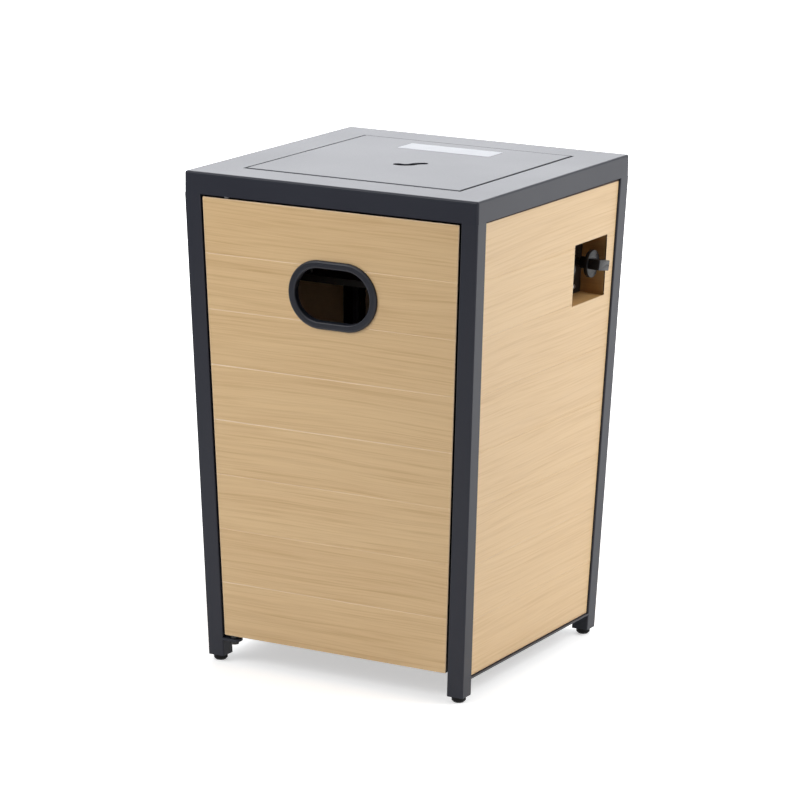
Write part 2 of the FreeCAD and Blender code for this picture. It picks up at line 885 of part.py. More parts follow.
def fire_bowl():
    mouth = opening_half - seat_width - bowl_clearance - bowl_sheet
    rim = opening_half - bowl_rim_gap
    tub = square_frustum(floor_half + bowl_sheet, floor_under, mouth + bowl_sheet, rim_level)
    flange = box(-rim, rim, -rim, rim, seat_level, rim_level)
    shell = fused([tub, flange]).cut(square_frustum(floor_half, floor_level, mouth, rim_level))
    under, over = floor_under - cut_over, floor_level + cut_over
    holes = [upright(venturi_radius + plate_clearance, 0, 0, under, over)]
    for k in range(drain_count):
        angle = math.radians(360 / drain_count * (k + 0.5))
        x, y = drain_circle * math.cos(angle), drain_circle * math.sin(angle)
        holes.append(upright(drain_radius, x, y, under, over))
    sensors = ((electrode_x, electrode_y, ceramic_radius), (thermocouple_x, thermocouple_y, probe_radius))
    for x, y, radius in sensors:
        holes.append(upright(radius + plate_clearance, x, y, under, over))
    for x, y in rim_screw_places():
        holes.append(upright(screw_radius, x, y, seat_level - cut_over, rim_level + cut_over))
    return shell.cut(holes)


def bowl_screws():
    screws = []
    for x, y in rim_screw_places():
        head = upright(screw_head_radius, x, y, rim_level, rim_level + screw_head_height)
        shank = upright(screw_radius, x, y, seat_level, rim_level)
        screws.append(fused([head, shank]))
    return Part.makeCompound(screws)


def burner():
    level = floor_level + burner_lift
    ring = Part.makeTorus(burner_radius, burner_tube, Vec(0, 0, level))
    spoke = rod(spoke_radius, Vec(-burner_radius, 0, level), Vec(burner_radius, 0, level))
    hub = upright(burner_hub_radius, 0, 0, floor_level, hub_top)
    body = ring.fuse(spoke).fuse(hub)
    socket_end = floor_level + venturi_socket
    holes = [upright(venturi_radius + running_clearance, 0, 0, floor_level - cut_over, socket_end)]
    crown = level + burner_tube
    for k in range(port_count):
        angle = 2 * math.pi * (k + 0.5) / port_count
        x, y = burner_radius * math.cos(angle), burner_radius * math.sin(angle)
        holes.append(upright(port_radius, x, y, crown - port_depth, crown + cut_over))
    return body.cut(holes)


def venturi_tube():
    socket_end = Vec(0, 0, floor_level + venturi_socket)
    route = [socket_end, Vec(0, 0, venturi_level), Vec(0, venturi_reach, venturi_level)]
    inner = venturi_radius - venturi_wall
    pipe = bent_tube(route, [venturi_bend], venturi_radius).cut(bent_tube(route, [venturi_bend], inner))
    slot_end = venturi_reach - jet_nose_length / 2
    half = air_slot_width / 2
    slot = box(-2 * venturi_radius, 2 * venturi_radius, slot_end - air_slot_length, slot_end,
               venturi_level - half, venturi_level + half)
    return pipe.cut(slot)


def along_jet(radius, start, end):
    return rod(radius, Vec(0, start, venturi_level), Vec(0, end, venturi_level))


def jet_holder():
    collar = along_jet(venturi_radius, venturi_reach, venturi_reach + jet_collar_height)
    body = along_jet(jet_radius, venturi_reach, venturi_reach + jet_length)
    nose = along_jet(jet_nose_radius, venturi_reach - jet_nose_length, venturi_reach)
    return fused([collar, body, nose])


def gas_tube():
    x, y = recess_centre + knob_offset, recess_rise + knob_lift
    outlet = valve_back - outlet_length
    start = side_point(right, x, y, outlet)
    first = side_point(right, x, y, outlet - gas_tube_run)
    route = [start, first, Vec(0, first.y, venturi_level)]
    route.append(Vec(0, venturi_reach + jet_length, venturi_level))
    return bent_tube(route, [gas_tube_ease, gas_tube_corner], gas_tube_radius)


def spark_electrode():
    x, y = electrode_x, electrode_y
    low = floor_under - ceramic_below
    high = low + ceramic_length
    body = [upright(ceramic_radius, x, y, low, high)]
    body.append(upright(collar_radius, x, y, floor_level, floor_level + collar_height))
    body.append(upright(electrode_wire, x, y, high, high + electrode_tip))
    return fused(body)


def thermocouple():
    x, y = thermocouple_x, thermocouple_y
    low = floor_under - probe_below
    high = low + probe_length
    body = [upright(probe_radius, x, y, low, high)]
    body.append(upright(collar_radius, x, y, floor_level, floor_level + collar_height))
    probe = fused(body)
    return rounded(probe, probe_round, lambda edge: lies_at(edge, "Z", high))


def ignition_wire():
    x, y = recess_centre + igniter_offset, recess_rise + igniter_lift
    rear = plate_back - igniter_shoulder - igniter_body_length - terminal_length
    low = floor_under - ceramic_below
    start = side_point(right, x, y, rear)
    bend = side_point(right, x, y, rear - lead_run)
    top = Vec(electrode_x, electrode_y, low)
    drop = Vec(electrode_x, electrode_y, low - lead_drop)
    return bent_tube([start, bend, drop, top], [lead_corner, lead_corner], lead_radius)


def thermocouple_lead():
    x, y = recess_centre + knob_offset, recess_rise + knob_lift + lead_port_rise
    rear = valve_back - outlet_length
    low = floor_under - probe_below
    start = side_point(right, x, y, rear)
    bend = side_point(right, x, y, rear - lead_run)
    top = Vec(thermocouple_x, thermocouple_y, low)
    drop = Vec(thermocouple_x, thermocouple_y, low - lead_drop)
    return bent_tube([start, bend, drop, top], [lead_corner, lead_corner], lead_radius)


def spacer_places():
    half = spacer_span / 2
    return [(-half, -half), (half, -half), (half, half), (-half, half)]


def heat_shield():
    half = shield_width / 2
    top = floor_under - shield_drop
    inner = half - shield_sheet
    pan = box(-half, half, -half, half, top - shield_lip, top)
    return pan.cut(box(-inner, inner, -inner, inner, top - 2 * shield_lip, top - shield_sheet))


def shield_spacers():
    low = floor_under - shield_drop
    return Part.makeCompound([upright(spacer_radius, x, y, low, floor_under) for x, y in spacer_places()])


def rock(centre, radius, chance):
    golden = (1 + math.sqrt(5)) / 2
    neighbour_limit = golden + 0.5
    corners_of = []
    for a in (-1, 1):
        for b in (-golden, golden):
            corners_of += [Vec(0, a, b), Vec(a, b, 0), Vec(b, 0, a)]
    spin = FreeCAD.Rotation(chance.uniform(0, 360), chance.uniform(0, 360), chance.uniform(0, 360))
    points = []
    for corner in corners_of:
        reach = radius * chance.uniform(rock_smallest, 1)
        points.append(spin.multVec(corner).normalize() * reach)
    faces = []
    for i in range(12):
        for j in range(i + 1, 12):
            for k in range(j + 1, 12):
                sides = [(corners_of[p] - corners_of[q]).Length for p, q in ((i, j), (j, k), (i, k))]
                if max(sides) < neighbour_limit:
                    faces.append(polygon([points[i], points[j], points[k]]))
    stone = Part.Solid(Part.Shell(faces))
    if stone.Volume < 0:
        stone.reverse()
    lowest = min(p.z for p in points)
    stone.translate(Vec(centre[0], centre[1], floor_level - lowest))
    return stone


def rock_fits(x, y):
    r = math.hypot(x, y)
    if abs(r - burner_radius) < burner_tube + rock_radius + rock_gap:
        return False
    if r < burner_hub_radius + rock_radius + rock_gap:
        return False
    if abs(y) < spoke_radius + rock_radius + rock_gap and abs(x) < burner_radius:
        return False
    for sx, sy in ((electrode_x, electrode_y), (thermocouple_x, thermocouple_y)):
        if math.hypot(x - sx, y - sy) < collar_radius + rock_radius + rock_gap:
            return False
    return max(abs(x), abs(y)) < floor_half - rock_radius - rock_gap


def lava_rocks():
    chance = random.Random(rock_seed)
    rocks = []
    count = int(floor_half / rock_pitch) + 1
    for i in range(-count, count + 1):
        for j in range(-count, count + 1):
            x = (i + 0.5 * (j % 2)) * rock_pitch + chance.uniform(-rock_spread, rock_spread)
            y = j * rock_row + chance.uniform(-rock_spread, rock_spread)
            if rock_fits(x, y):
                rocks.append(rock((x, y), rock_radius, chance))
    return Part.makeCompound(rocks)


corners = [(-1, -1), (1, -1), (1, 1), (-1, 1)]
corner_names = ["front_left", "front_right", "back_right", "back_left"]

parts = {
    "table_top": table_top(),
    "lid": lid(),
    "post_plugs": post_plugs(),
    "right_panel": right_panel(),
    "left_panel": wall_panel(left),
    "back_panel": wall_panel(back),
    "door_panel": door_panel(),
    "grip_ring": grip_ring(),
    "upper_bush": upper_bush(),
    "lower_bush": lower_bush(),
    "upper_pivot_pin": upper_pivot_pin(),
    "lower_pivot_pin": lower_pivot_pin(),
    "hinge_lug": hinge_lug(),
    "catch_magnet": catch_magnet(),
    "catch_strike": catch_strike(),
    "control_surround": control_surround(),
    "control_plate": control_plate(),
    "plate_screws": plate_screws(),
    "valve_body": valve_body(),
    "valve_plug": valve_plug(),
    "valve_stem": valve_stem(),
    "valve_nut": valve_nut(),
    "control_knob": control_knob(),
    "inlet_fitting": inlet_fitting(),
    "igniter_housing": igniter_housing(),
    "igniter_nut": igniter_nut(),
    "igniter_button": igniter_button(),
    "fire_bowl": fire_bowl(),
    "bowl_screws": bowl_screws(),
    "burner": burner(),
    "venturi_tube": venturi_tube(),
    "jet_holder": jet_holder(),
    "gas_tube": gas_tube(),
    "spark_electrode": spark_electrode(),
    "thermocouple": thermocouple(),
    "ignition_wire": ignition_wire(),
    "thermocouple_lead": thermocouple_lead(),
    "heat_shield": heat_shield(),
    "shield_spacers": shield_spacers(),
    "lava_rocks": lava_rocks(),
}
for name, (sx, sy) in zip(corner_names, corners):
    parts["post_" + name] = post(sx, sy)
    parts["foot_" + name] = foot(sx, sy)
for name, side in (("right", right), ("back", back), ("left", left)):
    parts["bottom_rail_" + name] = bottom_rail(side)

os.makedirs("parts", exist_ok=True)
for name, shape in parts.items():
    shape.exportStep("parts/" + name + ".step")
    print(name, len(shape.Solids), "solids", round(shape.Volume), "mm3", shape.isValid())
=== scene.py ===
import bpy
import json
import math
from mathutils import Matrix, Vector


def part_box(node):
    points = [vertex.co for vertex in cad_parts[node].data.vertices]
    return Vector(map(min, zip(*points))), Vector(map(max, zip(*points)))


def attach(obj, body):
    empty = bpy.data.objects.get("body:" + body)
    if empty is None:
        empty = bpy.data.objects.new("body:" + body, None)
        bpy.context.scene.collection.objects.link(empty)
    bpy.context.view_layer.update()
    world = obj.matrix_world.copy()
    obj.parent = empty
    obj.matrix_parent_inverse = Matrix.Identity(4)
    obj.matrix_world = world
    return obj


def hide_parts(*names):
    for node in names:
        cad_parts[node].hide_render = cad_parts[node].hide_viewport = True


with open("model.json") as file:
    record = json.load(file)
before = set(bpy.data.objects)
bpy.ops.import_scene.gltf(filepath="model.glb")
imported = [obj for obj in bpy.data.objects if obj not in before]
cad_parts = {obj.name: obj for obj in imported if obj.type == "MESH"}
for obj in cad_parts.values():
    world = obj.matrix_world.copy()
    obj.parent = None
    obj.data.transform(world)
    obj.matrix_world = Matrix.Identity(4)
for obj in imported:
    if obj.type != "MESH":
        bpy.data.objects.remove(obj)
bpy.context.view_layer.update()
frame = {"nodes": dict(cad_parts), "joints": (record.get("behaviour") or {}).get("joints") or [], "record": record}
nodes = frame["nodes"]
joints = {joint["name"]: joint for joint in frame["joints"]}
slotOf = {part["node"]: part["material_slot"] for part in frame["record"]["subparts"]}
mm = 0.001
hingeAxis = Vector(joints["door_hinge"]["axis"])
lean = math.atan2(hingeAxis.y, -hingeAxis.z)  # the sides lean outwards towards the top
print("frame loaded,", len(nodes), "pieces from the CAD model")


class Wire:  # a shader socket that can stand in Python sums
    def __init__(self, tree, socket=None):
        self.tree = tree
        self.socket = socket

    def add(self, kind, settings=None, sockets=None, out=0):
        node = self.tree.nodes.new("ShaderNode" + kind)
        for name, value in (settings or {}).items():
            if name == "stops":
                while len(node.color_ramp.elements) < len(value):
                    node.color_ramp.elements.new(1)
                for element, (place, level) in zip(node.color_ramp.elements, value):
                    element.position = place
                    element.color = (level, level, level, 1)
            else:
                setattr(node, name, value)
        for name, value in (sockets or {}).items():
            if isinstance(value, Wire):
                self.tree.links.new(value.socket, node.inputs[name])
            else:
                node.inputs[name].default_value = value
        return Wire(self.tree, node.outputs[out])

    def sum(self, operation, first, second):
        return self.add("Math", {"operation": operation}, {0: first, 1: second})

    def __add__(self, other):
        return self.sum("ADD", self, other)

    def __radd__(self, other):
        return self.sum("ADD", other, self)

    def __sub__(self, other):
        return self.sum("SUBTRACT", self, other)

    def __rsub__(self, other):
        return self.sum("SUBTRACT", other, self)

    def __mul__(self, other):
        return self.sum("MULTIPLY", self, other)

    def __rmul__(self, other):
        return self.sum("MULTIPLY", other, self)

    def __truediv__(self, other):
        return self.sum("DIVIDE", self, other)

    def floor(self):
        return self.sum("FLOOR", self, 0)

    def size(self):
        return self.sum("ABSOLUTE", self, 0)

    def least(self, other):
        return self.sum("MINIMUM", self, other)

    def most(self, other):
        return self.sum("MAXIMUM", self, other)

    def clamp(self):
        return self.add("Clamp", None, {0: self})

    def ramp(self, *stops):
        return self.add("ValToRGB", {"stops": stops}, {0: self}).grey()

    def grey(self):
        return self.add("RGBToBW", None, {0: self})

    def colours(self, first, second):
        return self.add("Mix", {"data_type": "RGBA"}, {0: self, 6: shade(first), 7: shade(second)}, 2)

    def axes(self):
        return [self.add("SeparateXYZ", None, {0: self}, k) for k in range(3)]

    def point(self, x, y, z):
        return self.add("CombineXYZ", None, {0: x, 1: y, 2: z})

    def chance(self, number):
        return self.add("TexWhiteNoise", {"noise_dimensions": "1D"}, {"W": number})

    def noise(self, scale, detail=2, rough=0.5):
        sockets = {"Vector": self, "Scale": scale, "Detail": detail, "Roughness": rough}
        return self.add("TexNoise", None, sockets)

    def cells(self, scale):
        return self.add("TexVoronoi", None, {"Vector": self, "Scale": scale})

    def bump(self, strength, depth):
        return self.add("Bump", None, {"Strength": strength, "Distance": depth, "Height": self})


def shade(colour):
    return colour if isinstance(colour, Wire) else (*colour, 1)


def linear(red, green, blue):  # a screen colour, 0 to 255, as Blender counts light
    shares = (red / 255, green / 255, blue / 255)
    return tuple(c / 12.92 if c < 0.0392 else ((c + 0.055) / 1.055) ** 2.4 for c in shares)


def makeMaterial(name, recipe, **fixed):
    material = bpy.data.materials.new(name)
    material.use_nodes = True
    tree = material.node_tree
    shader = tree.nodes["Principled BSDF"]
    place = Wire(tree).add("TexCoord", None, None, "Object")
    for socket, wire in recipe(place).items():
        tree.links.new(wire.socket, shader.inputs[socket])
    for socket, value in fixed.items():
        shader.inputs[socket.replace("_", " ")].default_value = value
    return material


# Powder coat on the frame, the top and the lid, with painted shade down the lid's edges
powderCoat = {
    "dark": linear(36, 38, 48),
    "light": linear(43, 45, 55),
    "roughness": 0.40,
    "specular": 0.28,
    "cloud": 5,                # soft patches in a metre
    "cloudShare": 0.6,
    "cloudRough": 0.08,
    "peel": 1500,              # bumps in a metre
    "peelShare": 0.4,
    "peelRough": 0.10,
    "peelStrength": 0.25,
    "peelDepth": 0.06 * mm,
    # painted shade in the gap round the lid and in its finger slot
    "gapShade": linear(14, 14, 16),
    "gapShadeDepth": 0.8 * mm,     # painted shade: the lid's sides, slot walls and underside are dark from here down
    "gapShadeSoft": 0.3 * mm,
}


def powderRecipe(place, shadeBelow=None):
    coat = powderCoat
    cloud = place.noise(coat["cloud"], 3)
    fleck = place.noise(coat["peel"], 2)
    colour = (cloud * coat["cloudShare"] + fleck * coat["peelShare"]).colours(coat["dark"], coat["light"])
    # below that level the colour turns to the painted gap shade
    if shadeBelow:
        gapShade = ((shadeBelow - place.axes()[2]) / coat["gapShadeSoft"]).clamp()
        colour = gapShade.colours(colour, coat["gapShade"])
    roughness = coat["roughness"] + (cloud - 0.5) * coat["cloudRough"] + (fleck - 0.5) * coat["peelRough"]
    relief = fleck.bump(coat["peelStrength"], coat["peelDepth"])
    return {"Base Color": colour, "Roughness": roughness, "Normal": relief}


# The lid's powder coat, with painted shade on its edges and in its slot
def lidRecipe(place):
    return powderRecipe(place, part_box("lid")[1].z - powderCoat["gapShadeDepth"])


# Wood-effect coating: planks with long level grain, pale joints painted as highlights along the plank grooves, and
# painted highlights on the edges
oakPrint = {
    "light": (229, 194, 141),
    "dark": (187, 143, 84),
    # pale tone of the painted highlights along the plank grooves and the panel edges
    "joint": linear(244, 222, 196),
    "inside": linear(200, 176, 148),      # behind the folded trays
    "flange": linear(30, 24, 20),         # folds and cut edges
    "gap": linear(52, 32, 20),            # shade under the top
    "roughness": 0.44,
    "roughSpread": 0.14,
    "specular": 1.0,
    "skin": 0.9 * mm,                     # how far the print reaches back from the face
    "soft": 0.3 * mm,                     # blur between two tones
    "topFold": 14 * mm,
    "footZone": 6 * mm,                   # corners this near the lower edge give its width
    "planks": 8,
    "plankShift": 4.0,                    # most that a plank's grain is moved along, in metres
    "plankStep": 30.0,                    # most that its slice of the grain is moved
    "toneSeed": 40.5,
    "toneShare": 0.10,
    "sway": 26 * mm,
    "swayRun": 1.8,                       # bends in a metre along the planks
    "swayRise": 5.0,                      # bends in a metre across them
    "swayStep": 9.0,
    # width and sharpness of the painted groove highlights
    "jointHalf": 0.9 * mm,
    "jointSharp": 1.5,
    "breakRun": 7.0,                       # stretches in a metre where a joint's painted highlight breaks off
    "breakSlice": 5.0,
    "breakStops": ((0.30, 0.45), (0.60, 1)),
    # painted highlight along the panels' rounded edges
    "edgeHighlightWidth": 1.6 * mm,
    "edgeHighlightStrength": 0.45,
    "flangeWidth": 2.4 * mm,
    "mouthLip": 1.0 * mm,
    "mouthSoft": 0.1 * mm,
    "streakRelief": 0.6,
    "fibreRelief": 0.4,
    "reliefStrength": 0.14,
    "reliefDepth": 0.12 * mm,
}
# Grain layers: waves in a metre along and across, noise settings, ramp ends, share of the dark tone
oakGrain = {
    "bands": {"run": 1.6, "rise": 55.0, "detail": 2, "rough": 0.5, "ends": (0.34, 0.68), "share": 0.09},
    "lines": {"run": 4.0, "rise": 190.0, "detail": 3, "rough": 0.6, "ends": (0.48, 0.72), "share": 0.24},
    "streaks": {"run": 7.0, "rise": 420.0, "detail": 2, "rough": 0.5, "ends": (0.50, 0.72), "share": 0.31},
    "fibres": {"run": 14.0, "rise": 800.0, "detail": 2, "rough": 0.5, "ends": (0.44, 0.70), "share": 0.20},
}


def cornersOf(node):
    return [point.co for point in nodes[node].data.vertices]


def oakRecipe(panel):
    oak = oakPrint
    alongAxis, seed = panel["along"], panel["seed"]
    outX, outY = panel["out"]
    low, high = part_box(panel["face"])
    faceTop = high.z - oak["topFold"] * math.sin(lean)
    pitch = (faceTop - low.z) / oak["planks"]
    light, dark = (linear(*panel.get(tone, oak[tone])) for tone in ("light", "dark"))

    def outward(x, y, z):
        return (x * outX + y * outY) * math.cos(lean) - z * math.sin(lean)

    def upward(x, y, z):
        return (x * outX + y * outY) * math.sin(lean) + z * math.cos(lean)

    corners = cornersOf(panel["face"])
    faceOut = max(outward(*co) for co in corners)
    halfLow = max(abs(co[alongAxis]) for co in corners if co.z < low.z + oak["footZone"])
    halfHigh = max(abs(co[alongAxis]) for co in corners)
    widening = (halfHigh - halfLow) / (faceTop - low.z)

    def mouthMask(along, rise):  # the cut edges of the opening for the controls
        mouth = cornersOf(panel["mouth"])
        rises = [upward(*co) for co in mouth]
        runs = [co[alongAxis] for co in mouth]
        inside = (rise - min(rises) - oak["mouthLip"]).least(max(rises) - rise)
        inside = inside.least(along - min(runs)).least(max(runs) - along)
        return (inside / oak["mouthSoft"]).clamp()

    def recipe(place):
        parts = place.axes()
        along, up = parts[alongAxis], parts[2]
        plank = ((up - low.z) / pitch).floor()
        chance = place.chance(plank + seed)
        plankTone = place.chance(plank + seed + oak["toneSeed"])
        run = along + chance * oak["plankShift"]
        bends = place.point(run * oak["swayRun"], up * oak["swayRise"] + chance * oak["swayStep"], seed)
        level = up + (bends.noise(1, 2) - 0.5) * oak["sway"]
        grainSlice = chance * oak["plankStep"]
        waves = {}
        depth = plankTone * oak["toneShare"]
        for name, layer in oakGrain.items():
            spot = place.point(run * layer["run"], level * layer["rise"], grainSlice + layer["rise"])
            waves[name] = spot.noise(1, layer["detail"], layer["rough"])
            first, last = layer["ends"]
            depth = depth + waves[name].ramp((first, 0), (last, 1)) * (layer["share"] * panel["grain"])
        colour = depth.clamp().colours(light, dark)

        # painted highlight along the panel's edges, in the pale joint tone
        edgeGap = (halfLow + (up - low.z) * widening - along.size()).least(up - low.z).least(faceTop - up)
        pale = (1 - edgeGap / oak["edgeHighlightWidth"]).clamp() * oak["edgeHighlightStrength"]
        # painted highlights along the plank grooves, broken up at random and fading along the face as the light
        # falls off
        breaks = place.point(run * oak["breakRun"], plank, oak["breakSlice"]).noise(1, 2).ramp(*oak["breakStops"])
        fade = breaks * (1 - (along * panel["fade"] + 0.5).clamp() * panel["fading"])
        for k, strength in enumerate(panel["joints"], 1):
            aside = (up - low.z - k * pitch).size()
            line = (oak["jointSharp"] - aside / oak["jointHalf"] * oak["jointSharp"]).clamp()
            pale = pale.most(line * fade * strength)
        colour = pale.colours(colour, oak["joint"])

        # painted shade under the top, wider towards the far end
        near, far = panel["topGap"]
        gap = (near + far) / 2 + along * ((far - near) / 2 / halfHigh)
        shaded = ((up - faceTop + gap) / oak["soft"]).clamp()
        colour = shaded.colours(colour, oak["gap"])

        inner = ((faceOut - outward(*parts) - oak["skin"]) / oak["soft"]).clamp() * panel["primed"]
        rimward = ((oak["flangeWidth"] - edgeGap) / oak["soft"]).clamp()
        if "mouth" in panel:
            opening = mouthMask(along, upward(*parts))
            inner = inner.most(opening)
            rimward = rimward.most(opening)
        colour = inner.colours(colour, rimward.colours(oak["inside"], oak["flange"]))
        dull = shaded.most(inner * rimward)      # full metal where the painted shade under the top and the dark rims of folds and cut edges lie, so no sheen shows there
        roughness = oak["roughness"] + (waves["streaks"] - 0.5) * oak["roughSpread"]
        height = waves["streaks"] * oak["streakRelief"] + waves["fibres"] * oak["fibreRelief"]
        relief = height.bump(oak["reliefStrength"], oak["reliefDepth"])
        return {"Base Color": colour, "Roughness": roughness, "Metallic": dull, "Normal": relief}

    return recipe


# Wood-effect pieces: the face that sets the planks, the axis they run along and the way they face, how strong
# each joint's painted highlight is from the foot up and how it fades along as the light falls off, and the
# painted shade under the top at both ends
noGap = (-mm, -mm)
panels = {
    "door_panel": {
        "face": "door_panel",
        "along": 0,
        "out": (0, -1),
        "seed": 3.0,
        "grain": 0.90,
        "joints": (0.55, 0.15, 0.35, 0.85, 0.85, 0.55, 0.50),
        "fade": 3.5,
        "fading": 0.7,
        "topGap": noGap,
        "primed": 1,
    },
    "back_panel": {
        "face": "back_panel",
        "along": 0,
        "out": (0, 1),
        "seed": 17.0,
        "grain": 0.90,
        "joints": (0.40, 0.70, 0.30, 0.80, 0.50, 0.75, 0.45),
        "fade": -3.5,
        "fading": 0.7,
        "topGap": noGap,
        "primed": 1,
    },
    "right_panel": {
        "face": "right_panel",
        "along": 1,
        "out": (1, 0),
        "seed": 8.0,
        "grain": 0.70,
        "joints": (0.30, 0.42, 0.20, 0.12, 0.22, 0.36, 0.15),
        "fade": 3.5,
        "fading": 0.4,
        "topGap": (1.2 * mm, 2.4 * mm),
        "primed": 1,
        "mouth": "control_plate",
    },
    "left_panel": {
        "face": "left_panel",
        "along": 1,
        "out": (-1, 0),
        "seed": 29.0,
        "grain": 0.75,
        "joints": (0.50, 0.30, 0.60, 0.35, 0.55, 0.30, 0.45),
        "fade": -3.5,
        "fading": 0.5,
        "topGap": noGap,
        "primed": 1,
    },
    "control_surround": {
        "face": "right_panel",
        "along": 1,
        "out": (1, 0),
        "seed": 51.0,
        "grain": 0.7,
        "joints": (),
        "fade": 0,
        "fading": 0,
        "topGap": noGap,
        "primed": 0,
        # a darker copy of the print with less sheen: painted shade inside the control recess
        "light": (200, 158, 104),
        "dark": (158, 111, 61),
        "specular": 0.4,
    },
}


# Moulded, cast and plated finishes: two tones, a roughness, a texture scale and depth
finishes = {
    "ring_plastic": {"dark": linear(30, 32, 40), "light": linear(39, 41, 50),
                     "roughness": 0.34, "specular": 0.3, "grain": 2600, "depth": 0.03 * mm},
    "black_plastic": {"dark": linear(14, 14, 15), "light": linear(24, 24, 26),
                      "roughness": 0.30, "specular": 0.17, "grain": 2200, "depth": 0.05 * mm},
    "black_plate": {"dark": linear(12, 12, 12), "light": linear(20, 20, 21),
                    "roughness": 0.45, "grain": 1500, "depth": 0.05 * mm},
    "nylon": {"dark": linear(16, 16, 17), "light": linear(26, 26, 28),
              "roughness": 0.42, "grain": 900, "depth": 0.03 * mm},
    "heat_paint": {"dark": linear(30, 29, 28), "light": linear(46, 44, 42),
                   "roughness": 0.62, "grain": 700, "depth": 0.08 * mm},
    "lead_cover": {"dark": linear(30, 30, 31), "light": linear(46, 46, 48),
                   "roughness": 0.60, "grain": 1800, "depth": 0.05 * mm},
    "ceramic": {"dark": linear(222, 218, 208), "light": linear(238, 236, 229),
                "roughness": 0.18, "grain": 260, "depth": 0.02 * mm},
    "plated_steel": {"dark": linear(168, 168, 170), "light": linear(205, 205, 208),
                     "roughness": 0.28, "metal": 1, "grain": 340, "depth": 0.02 * mm},
    "stainless": {"dark": linear(150, 147, 142), "light": linear(188, 184, 178),
                  "roughness": 0.34, "metal": 1, "grain": 420, "depth": 0.03 * mm},
    "brass": {"dark": linear(170, 132, 70), "light": linear(205, 168, 98),
              "roughness": 0.30, "metal": 1, "grain": 380, "depth": 0.02 * mm},
    "aluminium_tube": {"dark": linear(176, 177, 180), "light": linear(206, 207, 210),
                       "roughness": 0.32, "metal": 1, "grain": 300, "depth": 0.02 * mm},
}
# The same for pieces that depart from their slot, and for the pieces made here
# dull dark grey for the heat shield and its spacers in place of plated steel: painted shade, so the inside seen
# through the grip hole stays dark
shieldShadeTone = {"dark": linear(48, 45, 42), "light": linear(64, 60, 57),
             "roughness": 0.55, "metal": 0.2, "grain": 340, "depth": 0.02 * mm}
# a near-white pin: painted highlight, so the upper pivot pin shows as a bright glint in the gap above the door
brightPin = {"dark": linear(228, 228, 230), "light": linear(246, 246, 248),
             "roughness": 0.40, "metal": 0.25, "grain": 340, "depth": 0.02 * mm}
footRubber = {"dark": linear(7, 7, 8), "light": linear(14, 14, 15),
              "roughness": 0.55, "specular": 0.2, "grain": 1800, "depth": 0.05 * mm}
whiteFilm = {"dark": linear(184, 186, 192), "light": linear(191, 193, 199),
             "roughness": 0.50, "specular": 0.2, "grain": 700, "depth": 0.02 * mm}
# How every such finish varies: soft clouds over its fine grain
finishMix = {
    "cloudSize": 25,           # grains across a cloud
    "cloudShare": 0.7,
    "cloudRough": 0.16,
    "grainShare": 0.3,
    "grainRough": 0.08,
    "grainStrength": 0.3,
    "metal": 0,                # where a finish names none
    "specular": 0.5,
}


def finishRecipe(finish):
    def recipe(place):
        mix = finishMix
        cloud = place.noise(finish["grain"] / mix["cloudSize"], 3, 0.6)
        grain = place.noise(finish["grain"], 2)
        depth = cloud * mix["cloudShare"] + grain * mix["grainShare"]
        colour = depth.colours(finish["dark"], finish["light"])
        spread = (cloud - 0.5) * mix["cloudRough"]
        roughness = finish["roughness"] + spread + (grain - 0.5) * mix["grainRough"]
        relief = grain.bump(mix["grainStrength"], finish["depth"])
        return {"Base Color": colour, "Roughness": roughness, "Normal": relief}

    return recipe


def makeFinish(name, finish):
    return makeMaterial(name, finishRecipe(finish), Metallic=finish.get("metal", finishMix["metal"]),
                        Specular_IOR_Level=finish.get("specular", finishMix["specular"]))


# Brass valve, coloured black where its neck stands in front of the plate
neckSoft = 0.2 * mm


def outOfSide(x, z):  # how far out a point stands on the leaning right-hand side
    return x * math.cos(lean) - z * math.sin(lean)


def valveRecipe(place):
    looks = finishRecipe(finishes["brass"])(place)
    parts = place.axes()
    front = max(outOfSide(co.x, co.z) for co in cornersOf("control_plate"))
    neck = ((outOfSide(parts[0], parts[2]) - front) / neckSoft).clamp()
    looks["Base Color"] = neck.colours(looks["Base Color"], finishes["black_plate"]["dark"])
    return looks


# Porous lava rock
lavaRock = {
    "dark": linear(52, 43, 39),
    "light": linear(142, 120, 108),
    "patches": 60,             # in a metre, as are the pores
    "patchShare": 0.6,
    "pores": 420,
    "poreStops": ((0.10, 0), (0.45, 1)),
    "poreShare": 0.5,
    "poreStrength": 0.8,
    "poreDepth": 0.6 * mm,
    "darker": 0.15,
    "roughness": 0.82,
    "roughSpread": 0.15,
}


def lavaRecipe(place):
    rock = lavaRock
    patch = place.noise(rock["patches"], 4, 0.6)
    pore = place.cells(rock["pores"]).ramp(*rock["poreStops"])
    depth = (patch * rock["patchShare"] + pore * rock["poreShare"] - rock["darker"]).clamp()
    colour = depth.colours(rock["dark"], rock["light"])
    roughness = rock["roughness"] + patch * rock["roughSpread"]
    relief = pore.bump(rock["poreStrength"], rock["poreDepth"])
    return {"Base Color": colour, "Roughness": roughness, "Normal": relief}


# A finish for every slot, then those of single nodes
materials = {slot: makeFinish(slot, finish) for slot, finish in finishes.items()}
coatSheen = powderCoat["specular"]
materials["frame_paint"] = makeMaterial("frame_paint", powderRecipe, Specular_IOR_Level=coatSheen)
materials["lid"] = makeMaterial("lid_paint", lidRecipe, Specular_IOR_Level=coatSheen)
materials["lava"] = makeMaterial("lava", lavaRecipe)
# heat shield and spacers in the painted-shade dark grey
materials["heat_shield"] = makeFinish("shield_shade_tone", shieldShadeTone)
materials["shield_spacers"] = materials["heat_shield"]
